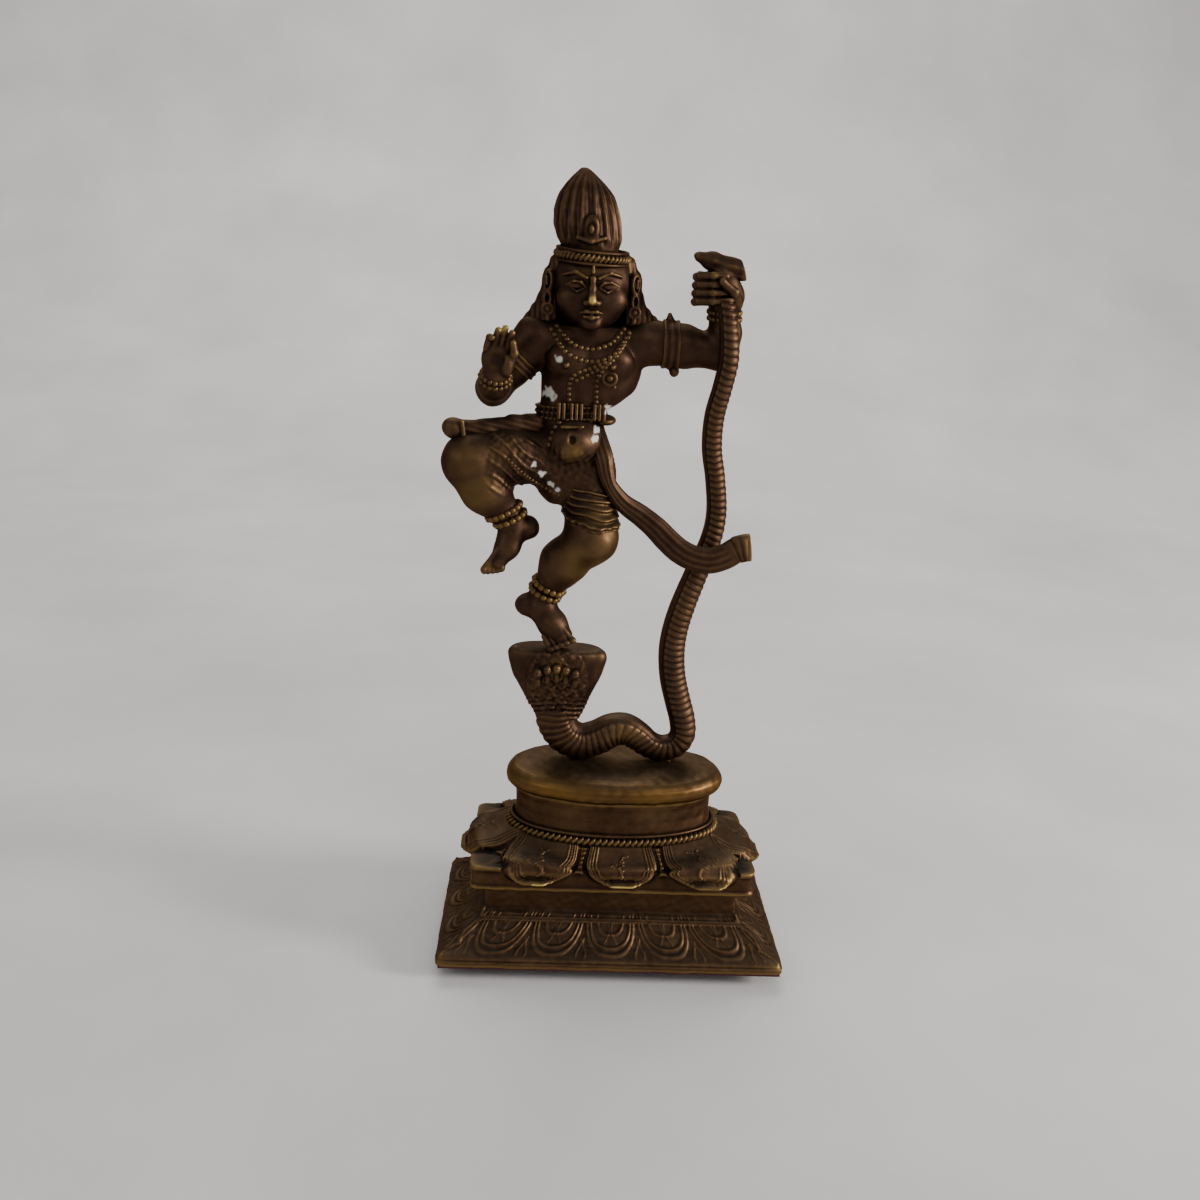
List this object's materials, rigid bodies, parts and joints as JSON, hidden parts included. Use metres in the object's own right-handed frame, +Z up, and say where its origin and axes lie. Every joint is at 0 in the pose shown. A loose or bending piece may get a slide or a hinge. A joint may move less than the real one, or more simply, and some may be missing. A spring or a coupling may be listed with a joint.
{
  "type": "cast brass deity statue",
  "caption": "Cast brass dancer with one leg raised, standing on a cobra's hood and holding up its tail, on an oval pedestal over a lotus tier and flared rectangular plinth.",
  "frame": {"origin": "middle of the felt pad's underside, on the surface the statue stands on", "axes": "+Z up, -Y is the front of the figure, +X is the figure's left, which is to the right of a viewer in front"},
  "size_m": [0.1188, 0.07, 0.254],
  "materials": {
    "aged_brass": "dark brown patina, satin, worn to olive gold on high points",
    "worn_brass": "dark patina with a rubbed ochre rim",
    "dowel_brass": "plain drawn brass",
    "steel": "plain steel",
    "felt": "matt maroon felt"
  },
  "bodies": {
    "root": {"back_hair": "aged_brass", "belt": "aged_brass", "breast_boss": "aged_brass", "chest": "aged_brass", "cloth_roll": "aged_brass", "cobra_heads": "aged_brass", "dowels": "dowel_brass", "earrings": "aged_brass", "felt_pad": "felt", "hair_dome": "aged_brass", "head": "aged_brass", "headband": "aged_brass", "hips": "aged_brass", "left_anklet": "aged_brass", "left_armlet": "aged_brass", "left_bracelet": "aged_brass", "left_ear": "aged_brass", "left_fist": "aged_brass", "left_forearm": "aged_brass", "left_upper_arm": "aged_brass", "lotus_tier": "aged_brass", "necklace": "aged_brass", "oval_neck": "aged_brass", "oval_slab": "worn_brass", "plinth": "aged_brass", "raised_foot": "aged_brass", "raised_leg": "aged_brass", "right_anklet": "aged_brass", "right_armlet": "aged_brass", "right_bracelet": "aged_brass", "right_ear": "aged_brass", "right_forearm_hand": "aged_brass", "right_upper_arm": "aged_brass", "rod_nut": "steel", "rod_washer": "steel", "rope_moulding": "aged_brass", "sash": "aged_brass", "serpent_body": "aged_brass", "serpent_hood": "aged_brass", "serpent_rivets": "dowel_brass", "serpent_tail_high": "aged_brass", "serpent_tail_low": "aged_brass", "serpent_tail_tip": "aged_brass", "shoulder_chain": "aged_brass", "side_locks": "aged_brass", "standing_foot": "aged_brass", "standing_leg": "aged_brass", "thigh_pleats": "aged_brass", "tie_rod": "steel"}
  },
  "joints": []
}
